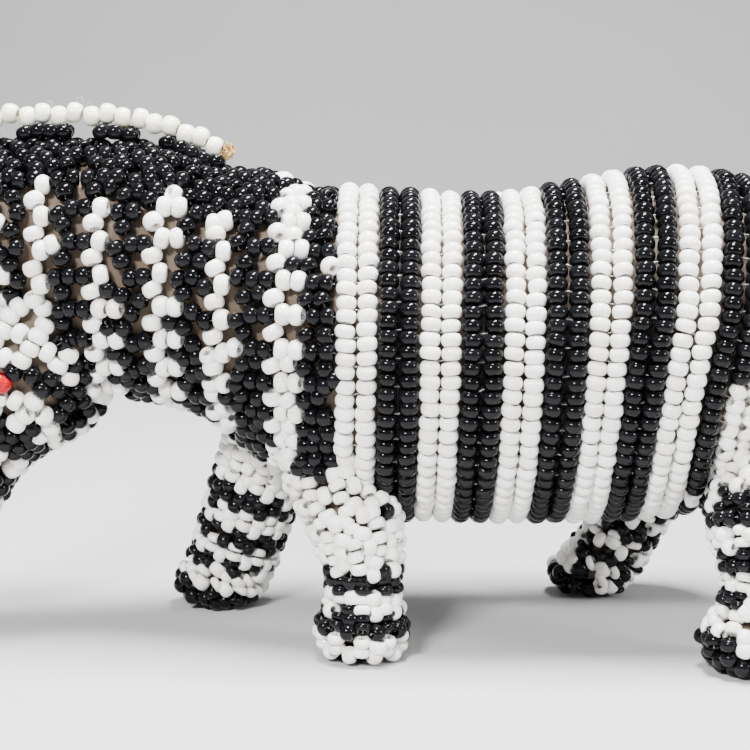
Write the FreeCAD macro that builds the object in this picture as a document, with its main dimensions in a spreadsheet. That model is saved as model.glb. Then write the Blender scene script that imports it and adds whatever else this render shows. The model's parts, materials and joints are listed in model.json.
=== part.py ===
# Beaded zebra figure, free standing.
#
# A padded form (trunk, neck, head and four legs) is wrapped in tape on a wire armature and dressed in glass
# seed beads threaded on nylon line. The trunk wears pairs of bead rings, the neck, head and legs wear bead
# nets. Each run of beads of one colour is a closed shell, one bead thick, over the padded form.
#
# Frame: the nose points to -X, the animal's left side to -Y, +Z is up. The origin is on the ground, under
# the middle of the figure's length and width. Millimetres.

import FreeCAD, Part
import math
import os

Vector = FreeCAD.Vector
AXIS_X = Vector(1, 0, 0)
AXIS_Y = Vector(0, 1, 0)
AXIS_Z = Vector(0, 0, 1)

# Every size that drives the figure.
DIMENSIONS = {
    # beads and thread
    "bead_diameter": 2.2,
    "bead_length": 1.5,
    "bead_bore": 0.8,
    "crest_bead_diameter": 2.4,
    "crest_bead_length": 1.8,
    "eye_bead_diameter": 2.6,
    "eye_bead_length": 1.9,
    "tape_gap": 0.15,
    "running_gap": 0.3,
    # trunk rings: they fan about an axis far below the belly, so the back is longer than the belly
    "ring_pitch": 2.24,
    "fan_radius": 409.0,
    "fan_plane": 0.7,
    "barrel_height": 32.3,
    "rings_per_stripe": 2,
    # neck net
    "neck_cell": 3.45,
    "crest_front_height": 52.8,
    "crest_rear_height": 49.8,
    "forehead_face": -39.5,
    # head: the line from the poll to the muzzle
    "head_pitch": 56.0,
    "head_top_x": -32.0,
    "head_top_z": 40.0,
    "cheek_end": 16.4,
    "snout_band": 4.4,
    "eye_along": 11.6,
    "eye_offset": -0.6,
    "eye_side": 9.0,
    "nostril_along": 28.3,
    "nostril_offset": -2.9,
    "nostril_side": 5.1,
    # legs
    "leg_net_split": 12.6,
    # ears
    "ear_length": 8.4,
    "ear_width": 5.4,
    "ear_thickness": 2.4,
    "ear_x": -43.6,
    "ear_side": 5.2,
    "ear_height": 58.9,
    "ear_splay": 24.0,
    # mane
    "crest_bead_count": 19,
    "upright_diameter": 1.7,
    "upright_gap": 0.12,
    "upright_least": 0.5,
    "window_width": 1.9,
    "knot_length": 2.0,
    # armature
    "wire_diameter": 1.2,
    "wire_clearance": 0.05,
    # tail: the strand hangs in a loop of line, and the loop's stem turns in the end of a short dock
    "dock_diameter": 3.4,
    "tail_pivot_x": 57.2,
    "tail_pivot_z": 46.6,
    "loop_line": 0.8,
    "loop_gap": 0.25,
    "loop_reach": 2.35,
    "loop_side": 1.95,
    "stem_length": 1.5,
    "eye_diameter": 3.0,
    "eye_length": 2.0,
    "strand_diameter": 2.4,
    "strand_length": 18.0,
    "tassel_diameter": 5.0,
    "tassel_length": 9.0,
    # moves the whole figure along X, so that the origin is under the middle of its length
    "frame_shift": -3.045,
}

# Sections of each form, measured outside the beads: name, centre and half sizes.
# Trunk and neck stand upright across X: x, z, half height, half width.
TRUNK = [
    ("shoulder", -1.55, 34.1, 18.6, 16.9),
    ("girth", 5.0, 32.6, 19.3, 17.4),
    ("barrel", 12.0, 32.3, 19.2, 17.5),
    ("waist", 22.0, 32.65, 19.65, 17.6),
    ("loin", 33.0, 33.8, 20.5, 17.9),
    ("hip", 41.0, 34.4, 19.8, 17.6),
    ("croup", 47.0, 35.2, 17.4, 15.6),
    ("rump", 51.0, 36.2, 12.8, 11.4),
    ("seat", 53.0, 36.7, 7.8, 7.0),
    ("end", 53.8, 36.9, 4.4, 4.0),
]
NECK = [
    ("shoulder", -1.55, 34.1, 18.6, 16.9),
    ("withers", -7.2, 36.0, 17.0, 15.3),
    ("chest", -12.9, 38.3, 16.0, 13.6),
    ("throat", -17.6, 40.5, 15.0, 12.4),
    ("middle", -23.4, 42.1, 15.2, 11.3),
    ("nape", -29.1, 42.9, 14.5, 10.6),
    ("poll", -34.9, 45.0, 12.6, 9.8),
    ("brow", -40.7, 47.1, 10.1, 8.9),
    ("forehead", -45.3, 48.2, 7.7, 7.3),
    ("front", -48.2, 48.9, 5.0, 4.8),
    ("end", -49.4, 49.0, 2.8, 2.6),
]
# Head, across the line from the poll to the muzzle: distance along it, half depth, half width.
HEAD = [
    ("poll", -6.0, 7.6, 7.2),
    ("brow", 0.0, 9.8, 9.0),
    ("cheek", 7.5, 10.5, 9.7),
    ("jaw", 13.0, 10.4, 9.4),
    ("bridge", 17.6, 8.0, 7.8),
    ("snout", 22.0, 6.9, 6.6),
    ("nose", 26.0, 7.0, 6.4),
    ("muzzle", 29.4, 6.2, 5.8),
    ("lip", 31.2, 4.6, 4.3),
    ("end", 32.0, 3.2, 3.0),
]
# Legs lie level: x, y, z, radius, from inside the body down to the sole.
LEGS = {
    "front_left": [
        ("root", -2.5, -5.5, 31.0, 6.0),
        ("shoulder", -2.3, -6.8, 25.0, 6.9),
        ("arm", -1.6, -7.4, 20.0, 6.5),
        ("elbow", 0.2, -9.6, 15.0, 5.8),
        ("knee", 1.3, -10.8, 10.0, 4.8),
        ("ankle", 1.3, -11.3, 6.0, 4.9),
        ("hoof", 1.1, -11.5, 3.0, 5.7),
        ("sole", 1.1, -11.5, 0.0, 5.0),
    ],
    "front_right": [
        ("root", -5.5, 5.5, 31.0, 6.0),
        ("shoulder", -7.5, 6.8, 25.0, 6.8),
        ("arm", -9.6, 8.3, 20.0, 6.6),
        ("elbow", -11.6, 9.8, 15.0, 6.2),
        ("knee", -13.7, 10.8, 9.0, 5.9),
        ("ankle", -15.2, 11.0, 5.0, 5.9),
        ("hoof", -16.1, 11.0, 3.0, 6.1),
        ("sole", -16.4, 11.0, 0.0, 5.3),
    ],
    "rear_left": [
        ("root", 48.0, -6.0, 36.0, 5.0),
        ("thigh", 48.2, -9.0, 29.0, 5.8),
        ("stifle", 47.2, -11.8, 22.0, 6.4),
        ("gaskin", 45.3, -14.3, 16.0, 6.6),
        ("hock", 44.9, -15.9, 10.5, 4.9),
        ("ankle", 44.2, -16.4, 6.0, 5.2),
        ("hoof", 43.4, -16.5, 3.0, 5.9),
        ("sole", 43.1, -16.5, 0.0, 5.3),
    ],
    "rear_right": [
        ("root", 44.0, 7.0, 36.0, 6.0),
        ("thigh", 43.0, 9.3, 29.0, 6.5),
        ("stifle", 40.6, 12.0, 22.0, 6.8),
        ("gaskin", 38.0, 14.3, 16.0, 6.6),
        ("hock", 35.2, 15.9, 10.5, 5.4),
        ("ankle", 32.2, 16.4, 6.0, 5.5),
        ("hoof", 30.2, 16.5, 3.0, 5.9),
        ("sole", 29.6, 16.5, 0.0, 5.3),
    ],
}

# What one unit of inset does at a closed end: along the form, and off the half sizes.
ROUND_END = (1.0, 0.35)
SQUARE_END = (1.0, 1.0)

# Stripes of two bead rings from the shoulder to the rump, and of one net cell from the shoulder to the head.
BARREL_STRIPES = 11
NECK_STRIPES = 11
COLOURS = ("white", "black")

# Line of the mane's crest beads, from the withers to the forehead: x, z.
CREST_LINE = [
    (-15.5, 56.6),
    (-18.9, 58.0),
    (-22.6, 59.3),
    (-26.6, 60.0),
    (-33.0, 60.1),
    (-39.5, 60.0),
    (-44.6, 58.6),
    (-48.0, 56.1),
]
# Middles of the windows in the row of uprights, where nothing stands under the crest: x.
CREST_WINDOWS = (-22.9, -30.4, -38.9)

# Armature wires, end to end: x, y, z.
SPINE_ROUTE = [(-46.0, 0, 19.0), (-37.0, 0, 35.0), (-28.0, 0, 45.0), (-5.0, 0, 40.0), (46.0, 0, 38.0)]
FRONT_LEG_ROUTE = [
    (1.1, -11.5, 3.6), (1.3, -10.9, 10.0), (-2.0, -7.4, 21.0), (-4.0, 0, 29.0),
    (-8.6, 7.6, 22.5), (-13.6, 10.8, 9.0), (-16.1, 11.0, 3.6),
]
REAR_LEG_ROUTE = [
    (43.3, -16.5, 3.6), (44.9, -15.9, 10.5), (45.3, -11.5, 24.0), (44.0, 0, 32.0),
    (41.0, 11.5, 24.0), (35.2, 15.9, 10.5), (30.2, 16.5, 3.6),
]

doc = FreeCAD.newDocument("BeadedZebra")
sheet = doc.addObject("Spreadsheet::Sheet", "Dimensions")
subparts = []


# ---------------------------------------------------------------- the sheet

def inward_normals(profile, end):
    """How far each section moves along the form and how much its half sizes shrink, for one unit of inset.

    The profile is (distance along the form, half size). The first section keeps its place and the last one
    takes the values given for a closed end.
    """
    normals = [(0.0, 1.0)]
    direction = math.copysign(1, profile[-1][0] - profile[0][0])
    for (before, wide), (after, narrow) in zip(profile, profile[2:]):
        run = abs(after - before)
        fall = wide - narrow
        steep = math.hypot(run, fall)
        normals.append((round(-direction * fall / steep, 4), round(run / steep, 4)))
    normals.append((-direction * end[0], end[1]))
    return normals


def fill_sheet():
    """Write every driving size and every section of the forms into the sheet, with its alias."""
    cells = dict(DIMENSIONS)
    for form, stations in (("trunk", TRUNK), ("neck", NECK)):
        inward = inward_normals([(x, half_height) for _, x, _, half_height, _ in stations], ROUND_END)
        for (name, x, z, half_height, half_width), (axial, radial) in zip(stations, inward):
            cells[f"{form}_{name}_x"] = x
            cells[f"{form}_{name}_z"] = z
            cells[f"{form}_{name}_rise"] = half_height
            cells[f"{form}_{name}_reach"] = half_width
            cells[f"{form}_{name}_axial"] = axial
            cells[f"{form}_{name}_radial"] = radial
    inward = inward_normals([(along, half_depth) for _, along, half_depth, _ in HEAD], ROUND_END)
    for (name, along, half_depth, half_width), (axial, radial) in zip(HEAD, inward):
        cells[f"head_{name}_along"] = along
        cells[f"head_{name}_rise"] = half_depth
        cells[f"head_{name}_reach"] = half_width
        cells[f"head_{name}_axial"] = axial
        cells[f"head_{name}_radial"] = radial
    for leg, stations in LEGS.items():
        inward = inward_normals([(z, radius) for _, _, _, z, radius in stations], SQUARE_END)
        for (name, x, y, z, radius), (axial, radial) in zip(stations, inward):
            cells[f"{leg}_{name}_x"] = x
            cells[f"{leg}_{name}_y"] = y
            cells[f"{leg}_{name}_z"] = z
            cells[f"{leg}_{name}_radius"] = radius
            cells[f"{leg}_{name}_axial"] = axial
            cells[f"{leg}_{name}_radial"] = radial
    for row, (alias, value) in enumerate(cells.items(), start=1):
        sheet.set(f"A{row}", alias)
        sheet.set(f"B{row}", str(value))
        sheet.setAlias(f"B{row}", alias)
    doc.recompute()


def size(alias):
    """The number that the sheet holds under an alias."""
    return float(sheet.get(alias))


def bind(thing, **expressions):
    """Bind properties of an object to the sheet. A dot in a property's path is written as two underscores."""
    for path, expression in expressions.items():
        thing.setExpression(path.replace("__", "."), expression)


# ---------------------------------------------------------------- small helpers

def make(kind, name):
    """Add an object of the document."""
    return doc.addObject(kind, name)


def cut(name, base, *tools):
    """The base with each tool taken away in turn."""
    for number, tool in enumerate(tools):
        step = make("Part::Cut", f"{name}_{number}")
        step.Base = base
        step.Tool = tool
        base = step
    return base


def common(name, first, second):
    """What two solids share."""
    shared = make("Part::Common", name)
    shared.Base = first
    shared.Tool = second
    return shared


def fuse(name, pieces):
    """Several solids joined into one."""
    joined = make("Part::MultiFuse", name)
    joined.Shapes = pieces
    return joined


def keep(thing, label):
    """Name a finished sub-part and list it for export."""
    thing.Label = label
    subparts.append(thing)
    return thing


def shifted(x, y, z):
    """A point of the figure in the document's frame."""
    return Vector(x + size("frame_shift"), y, z)


def turned(across, normal):
    """The turn that lays a flat section square to normal, with its long half size along across."""
    return FreeCAD.Rotation(across, normal.cross(across), normal, "ZXY")


def head_point(along, offset, side):
    """A point of the head: along the poll-to-muzzle line, towards the jaw, and to the right side."""
    pitch = math.radians(size("head_pitch"))
    x = size("head_top_x") - along * math.cos(pitch) + offset * math.sin(pitch)
    z = size("head_top_z") - along * math.sin(pitch) - offset * math.cos(pitch)
    return shifted(x, side, z)


def head_axis():
    """Unit vector from the poll to the muzzle."""
    pitch = math.radians(size("head_pitch"))
    return Vector(-math.cos(pitch), 0, -math.sin(pitch))


# ---------------------------------------------------------------- forms

def loft(name, sections):
    """A closed solid through a row of flat sections."""
    solid = make("Part::Loft", name)
    solid.Sections = sections
    solid.Solid = True
    solid.Ruled = False
    solid.MaxDegree = 3
    return solid


def upright_form(name, form, stations, inset):
    """Trunk or neck: ellipses across X, inset from the outside of the beads."""
    sections = []
    for station, *_ in stations:
        key = f"Dimensions.{form}_{station}"
        section = make("Part::Ellipse", f"{name}_{station}")
        section.Placement = FreeCAD.Placement(Vector(), turned(AXIS_Z, AXIS_X))
        bind(section,
             MajorRadius=f"{key}_rise - {key}_radial * ({inset})",
             MinorRadius=f"{key}_reach - {key}_radial * ({inset})",
             Placement__Base__x=f"{key}_x + {key}_axial * ({inset}) + Dimensions.frame_shift",
             Placement__Base__z=f"{key}_z")
        sections.append(section)
    return loft(name, sections)


def head_form(name, inset):
    """Head: ellipses square to the poll-to-muzzle line, inset from the outside of the beads."""
    sections = []
    across = head_axis().cross(AXIS_Y)
    for station, *_ in HEAD:
        key = f"Dimensions.head_{station}"
        along = f"({key}_along + {key}_axial * ({inset}))"
        section = make("Part::Ellipse", f"{name}_{station}")
        section.Placement = FreeCAD.Placement(Vector(), turned(across, head_axis()))
        bind(section,
             MajorRadius=f"{key}_rise - {key}_radial * ({inset})",
             MinorRadius=f"{key}_reach - {key}_radial * ({inset})",
             Placement__Base__x=f"Dimensions.head_top_x + Dimensions.frame_shift"
                                f" - {along} * cos(Dimensions.head_pitch * 1deg)",
             Placement__Base__z=f"Dimensions.head_top_z - {along} * sin(Dimensions.head_pitch * 1deg)")
        sections.append(section)
    return loft(name, sections)


def leg_form(name, leg, inset):
    """Leg: level circles from inside the body down to the sole, inset from the outside of the beads."""
    sections = []
    for station, *_ in LEGS[leg]:
        key = f"Dimensions.{leg}_{station}"
        section = make("Part::Circle", f"{name}_{station}")
        bind(section,
             Radius=f"{key}_radius - {key}_radial * ({inset})",
             Placement__Base__x=f"{key}_x + Dimensions.frame_shift",
             Placement__Base__y=f"{key}_y",
             Placement__Base__z=f"{key}_z + {key}_axial * ({inset})")
        sections.append(section)
    return loft(name, sections)


OUTSIDE = "0"
UNDER_BEADS = "Dimensions.bead_diameter"
TAPED_CORE = "Dimensions.bead_diameter + Dimensions.tape_gap"


def all_forms(suffix, inset):
    """Every form of the figure at one inset."""
    forms = {
        "trunk": upright_form(f"trunk_{suffix}", "trunk", TRUNK, inset),
        "neck": upright_form(f"neck_{suffix}", "neck", NECK, inset),
        "head": head_form(f"head_{suffix}", inset),
    }
    for leg in LEGS:
        forms[leg] = leg_form(f"{leg}_{suffix}", leg, inset)
    return forms


# ---------------------------------------------------------------- armature and padded cores

def wire_run(name, route, diameter):
    """A bent round wire: a rod along each run, and a ball of the same diameter at each bend."""
    pieces = []
    points = [shifted(*point) for point in route]
    for number, (start, end) in enumerate(zip(points, points[1:])):
        rod = make("Part::Cylinder", f"{name}_rod_{number}")
        rod.Placement = FreeCAD.Placement(start, FreeCAD.Rotation(AXIS_Z, end - start))
        rod.Height = (end - start).Length
        bind(rod, Radius=f"({diameter}) / 2")
        pieces.append(rod)
    for number, bend in enumerate(points[1:-1]):
        ball = make("Part::Sphere", f"{name}_bend_{number}")
        ball.Placement = FreeCAD.Placement(bend, FreeCAD.Rotation())
        bind(ball, Radius=f"({diameter}) / 2")
        pieces.append(ball)
    return fuse(name, pieces)


def build_armature():
    """The three wires, and the channels that they leave in the padding."""
    channels = []
    channel = "Dimensions.wire_diameter + 2 * Dimensions.wire_clearance"
    routes = {"spine_wire": SPINE_ROUTE, "front_leg_wire": FRONT_LEG_ROUTE, "rear_leg_wire": REAR_LEG_ROUTE}
    for label, route in routes.items():
        keep(wire_run(f"{label}_solid", route, "Dimensions.wire_diameter"), label)
        channels.append(wire_run(f"{label}_channel", route, channel))
    return channels


def build_cores(cores, channels):
    """The taped padding: trunk and neck run through, the head and the legs are sewn against them."""
    spine, front, rear = channels
    keep(cut("body_padding", cores["trunk"], spine, front, rear), "body_core")
    keep(cut("neck_padding", cores["neck"], spine, front), "neck_core")
    keep(cut("head_padding", cores["head"], cores["neck"], spine), "head_core")
    for leg in LEGS:
        wire = front if leg.startswith("front") else rear
        keep(cut(f"{leg}_padding", cores[leg], cores["trunk"], cores["neck"], wire), f"{leg}_leg_core")


# ---------------------------------------------------------------- bead shells

def ring_sector(name, first_ring, last_ring):
    """The space between two ring planes: a slice of a large cylinder about the fan's axis."""
    ring_angle = size("ring_pitch") / size("fan_radius")
    sector = make("Part::Cylinder", name)
    bind(sector,
         Radius="Dimensions.fan_radius * 1.2",
         Height="Dimensions.trunk_loin_reach * 3",
         Angle=f"{last_ring - first_ring} * Dimensions.ring_pitch / Dimensions.fan_radius * 180 / pi")
    start = first_ring * ring_angle
    radial = Vector(math.sin(start), 0, math.cos(start))
    axis_height = size("barrel_height") - size("fan_radius")
    base = shifted(size("fan_plane"), -1.5 * size("trunk_loin_reach"), axis_height)
    sector.Placement = FreeCAD.Placement(base, FreeCAD.Rotation(radial, AXIS_Y.cross(radial), AXIS_Y, "ZXY"))
    return sector


def legs_near(inner, low, high):
    """The padded legs whose stations come between two places along X."""
    near = []
    for leg, stations in LEGS.items():
        if min(x - radius for _, x, _, _, radius in stations) < high:
            if max(x + radius for _, x, _, _, radius in stations) > low:
                near.append(inner[leg])
    return near


def build_barrel(outer, inner):
    """Stripes of bead rings round the trunk, and the two that close the rump."""
    pair = int(size("rings_per_stripe"))
    rump = pair * BARREL_STRIPES - 1
    # each slice: label, first ring, last ring. The first starts early, in front of the shoulder face
    slices = []
    for number in range(BARREL_STRIPES):
        low = pair * number - 1 - (1 if number == 0 else 0)
        slices.append((f"barrel_stripe_{number + 1:02d}_{COLOURS[number % 2]}", low, pair * (number + 1) - 1))
    slices.append(("rump_stripe_black", rump, rump + pair))
    slices.append(("rump_cap_white", rump + pair, rump + 6 * pair))
    for label, low, high in slices:
        sector = ring_sector(f"{label}_slice", low, high)
        disc = common(f"{label}_disc", outer["trunk"], sector)
        legs = legs_near(inner, low * size("ring_pitch"), high * size("ring_pitch"))
        keep(cut(f"{label}_shell", disc, inner["trunk"], *legs), label)


def box(name, corner, lengths, rotation=FreeCAD.Rotation()):
    """A cutting block."""
    block = make("Part::Box", name)
    block.Length, block.Width, block.Height = lengths
    block.Placement = FreeCAD.Placement(corner, rotation)
    return block


def build_neck(outer, inner):
    """Black net under the mane, stripes one net cell wide below it, and the net of the forehead."""
    reach = 60.0
    root = size("neck_shoulder_x")
    forehead = size("forehead_face")

    block = box("forehead_block", shifted(forehead - reach, -reach / 2, 0), (reach, reach, reach + 20))
    front = common("forehead_solid", outer["neck"], block)
    keep(cut("forehead_shell", front, inner["neck"], inner["head"]), "forehead_net")

    rise = size("crest_front_height") - size("crest_rear_height")
    slope = FreeCAD.Rotation(AXIS_Y, math.degrees(math.atan2(rise, root - forehead)))
    corner = shifted(forehead, -reach / 2, size("crest_front_height"))
    above = box("crest_block", corner, (reach, reach, reach), slope)
    crest = common("crest_solid", outer["neck"], above)
    keep(cut("crest_shell", crest, block, inner["neck"]), "crest_net_black")

    for number in range(NECK_STRIPES):
        high = root - number * size("neck_cell")
        low = forehead if number == NECK_STRIPES - 1 else high - size("neck_cell")
        label = f"neck_stripe_{number + 1:02d}_{COLOURS[(number + 1) % 2]}"
        slab = box(f"{label}_slab", shifted(low, -reach / 2, 0), (high - low, reach, reach + 20))
        disc = common(f"{label}_disc", outer["neck"], slab)
        tools = [above, inner["neck"], *legs_near(inner, low, high)]
        if low < size("head_top_x") + size("head_brow_rise"):
            tools.append(inner["head"])
        keep(cut(f"{label}_shell", disc, *tools), label)


def build_head(outer, inner, eye_seats):
    """Net of the head in four lengths, from the cheeks to the muzzle, with a seat for each eye bead."""
    shell = cut("head_shell", outer["head"], inner["head"], outer["neck"], *eye_seats)
    across = head_axis().cross(AXIS_Y)
    lie = turned(across, head_axis())
    reach = 40.0
    edges = [-20.0, size("cheek_end"), size("cheek_end") + size("snout_band"),
             size("cheek_end") + 2 * size("snout_band"), 60.0]
    labels = ["cheek_net", "snout_stripe_black", "snout_stripe_white", "muzzle_net_black"]
    for label, low, high in zip(labels, edges, edges[1:]):
        corner = head_point(low, 0, 0) - across * (reach / 2) - head_axis().cross(across) * (reach / 2)
        slab = box(f"{label}_slab", corner, (reach, reach, high - low), lie)
        keep(common(f"{label}_shell", shell, slab), label)


def build_leg_nets(outer, inner):
    """Each leg's net in two lengths: shoulder or thigh, and the banded shin with its hoof."""
    split = size("leg_net_split")
    for leg in LEGS:
        shell = cut(f"{leg}_shell", outer[leg], inner[leg], outer["trunk"], outer["neck"])
        low_block = box(f"{leg}_low_block", shifted(-70, -30, -1), (140, 60, split + 1))
        keep(common(f"{leg}_shin_shell", shell, low_block), f"{leg}_shin_and_hoof_net")
        keep(cut(f"{leg}_upper_shell", shell, low_block), f"{leg}_upper_leg_net")


# ---------------------------------------------------------------- beads that are single pieces

def bead_shape(diameter, length, bore):
    """A seed bead: a rounded ring about Z with a straight bore."""
    outer_radius = diameter / 2
    inner_radius = bore / 2
    half = length / 2
    wall = outer_radius - inner_radius
    flat = half * 0.35
    lip = inner_radius + wall * 0.3
    shoulder = outer_radius - wall * 0.22
    bend = half * 0.76
    outline = Part.Wire([
        Part.LineSegment(Vector(inner_radius, 0, -half), Vector(inner_radius, 0, half)).toShape(),
        Part.LineSegment(Vector(inner_radius, 0, half), Vector(lip, 0, half)).toShape(),
        Part.Arc(Vector(lip, 0, half), Vector(shoulder, 0, bend), Vector(outer_radius, 0, flat)).toShape(),
        Part.LineSegment(Vector(outer_radius, 0, flat), Vector(outer_radius, 0, -flat)).toShape(),
        Part.Arc(Vector(outer_radius, 0, -flat), Vector(shoulder, 0, -bend), Vector(lip, 0, -half)).toShape(),
        Part.LineSegment(Vector(lip, 0, -half), Vector(inner_radius, 0, -half)).toShape(),
    ])
    return Part.Face(outline).revolve(Vector(), AXIS_Z, 360)


def bead_group(label, shape, places):
    """One node of equal beads, each a separate solid."""
    group = make("Part::Feature", f"{label}_beads")
    solids = []
    for place in places:
        solid = shape.copy()
        solid.Placement = place
        solids.append(solid)
    group.Shape = Part.makeCompound(solids)
    group.Placement = FreeCAD.Placement()
    return keep(group, label)


def build_eyes():
    """A red bead on each side of the head, its bore along the head, and the seats cut for them."""
    shape = bead_shape(size("eye_bead_diameter"), size("eye_bead_length"), size("bead_bore"))
    lie = FreeCAD.Rotation(AXIS_Z, head_axis())
    places = []
    seats = []
    for number, side in enumerate((-1, 1)):
        centre = head_point(size("eye_along"), size("eye_offset"), side * size("eye_side"))
        places.append(FreeCAD.Placement(centre, lie))
        seat = make("Part::Sphere", f"eye_seat_{number}")
        bind(seat, Radius="Dimensions.eye_bead_diameter / 2 + Dimensions.running_gap")
        seat.Placement = FreeCAD.Placement(centre, FreeCAD.Rotation())
        seats.append(seat)
    bead_group("eye_beads", shape, places)
    return seats


def crest_points(count):
    """Evenly spaced points and directions along the crest line."""
    curve = Part.BSplineCurve()
    curve.interpolate([shifted(x, 0, z) for x, z in CREST_LINE])
    edge = curve.toShape()
    spacing = edge.Length / (count - 1)
    places = []
    for number in range(count):
        parameter = edge.getParameterByLength(min(number * spacing, edge.Length))
        places.append((edge.valueAt(parameter), edge.tangentAt(parameter)))
    return places


def upright_room(point, tangent, neck_outer):
    """Heights between which an upright fits, above the neck's net and below a bead of the crest row."""
    radius = size("upright_diameter") / 2
    post = Part.makeCylinder(radius, 12, point - AXIS_Z * 12)
    net_points, _ = post.common(neck_outer.Shape).tessellate(0.02)
    floor = max(net_point.z for net_point in net_points)
    slope = abs(tangent.z / tangent.x)
    underside = point.z - size("crest_bead_diameter") / 2 * math.hypot(1, slope) - radius * slope
    return floor + size("upright_gap"), underside - size("upright_gap")


def build_mane(neck_outer):
    """A row of white beads along the crest, black beads that carry it, and the knot at its rear end."""
    count = int(size("crest_bead_count"))
    places = crest_points(count)
    crest = bead_shape(size("crest_bead_diameter"), size("crest_bead_length"), size("bead_bore"))
    bead_group("mane_crest_beads", crest,
               [FreeCAD.Placement(point, FreeCAD.Rotation(AXIS_Z, tangent)) for point, tangent in places])

    # an upright stands under each bead of the crest row, where there is room for one and no window
    doc.recompute()
    uprights = []
    for point, tangent in places[1:-1]:
        floor, ceiling = upright_room(point, tangent, neck_outer)
        aside = min(abs(point.x - shifted(x, 0, 0).x) for x in CREST_WINDOWS)
        if ceiling - floor > size("upright_least") and aside > size("window_width") / 2:
            upright = bead_shape(size("upright_diameter"), ceiling - floor, size("bead_bore"))
            middle = Vector(point.x, 0, (floor + ceiling) / 2)
            upright.Placement = FreeCAD.Placement(middle, FreeCAD.Rotation())
            uprights.append(upright)
    carriers = make("Part::Feature", "mane_carriers")
    carriers.Shape = Part.makeCompound(uprights)
    carriers.Placement = FreeCAD.Placement()
    keep(carriers, "mane_upright_beads")

    point, tangent = places[0]
    knot = make("Part::Ellipsoid", "knot_solid")
    bind(knot, Radius1="Dimensions.knot_length / 3", Radius2="Dimensions.knot_length / 2",
         Radius3="Dimensions.knot_length / 3")
    setback = size("crest_bead_length") / 2 + size("knot_length") / 2 + size("running_gap")
    knot.Placement = FreeCAD.Placement(point - tangent * setback, FreeCAD.Rotation(AXIS_X, tangent))
    keep(cut("knot_clear", knot, neck_outer), "mane_end_knot")


def build_nostrils(head_shell_tools):
    """Two black beads that stand on the muzzle, bore along the head."""
    shape = bead_shape(size("bead_diameter"), size("bead_length"), size("bead_bore"))
    lie = FreeCAD.Rotation(AXIS_Z, head_axis())
    places = []
    for side in (-1, 1):
        centre = head_point(size("nostril_along"), size("nostril_offset"), side * size("nostril_side"))
        places.append(FreeCAD.Placement(centre, lie))
        seat = make("Part::Sphere", f"nostril_seat_{'right' if side > 0 else 'left'}")
        bind(seat, Radius="Dimensions.bead_diameter / 2 + Dimensions.running_gap")
        seat.Placement = FreeCAD.Placement(centre, FreeCAD.Rotation())
        head_shell_tools.append(seat)
    bead_group("nostril_beads", shape, places)


def build_ears(neck_outer):
    """A cupped leaf on each side of the poll, opening forwards."""
    for side, label in ((-1, "left_ear"), (1, "right_ear")):
        centre = shifted(size("ear_x"), side * size("ear_side"), size("ear_height"))
        lean = FreeCAD.Rotation(AXIS_X, -side * size("ear_splay"))
        leaf = make("Part::Ellipsoid", f"{label}_leaf")
        bind(leaf, Radius1="Dimensions.ear_length / 2", Radius2="Dimensions.ear_thickness",
             Radius3="Dimensions.ear_width / 2")
        leaf.Placement = FreeCAD.Placement(centre, lean)
        hollow = make("Part::Ellipsoid", f"{label}_hollow")
        bind(hollow, Radius1="Dimensions.ear_length / 2", Radius2="Dimensions.ear_thickness",
             Radius3="Dimensions.ear_width / 2")
        hollow.Placement = FreeCAD.Placement(centre - AXIS_X * size("bead_diameter"), lean)
        keep(cut(f"{label}_shell", leaf, hollow, neck_outer), label)


# ---------------------------------------------------------------- tail

def line_rod(name, start, end, diameter):
    """A round rod between two points."""
    rod = make("Part::Cylinder", name)
    rod.Placement = FreeCAD.Placement(start, FreeCAD.Rotation(AXIS_Z, end - start))
    rod.Height = (end - start).Length
    bind(rod, Radius=f"({diameter}) / 2")
    return rod


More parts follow.
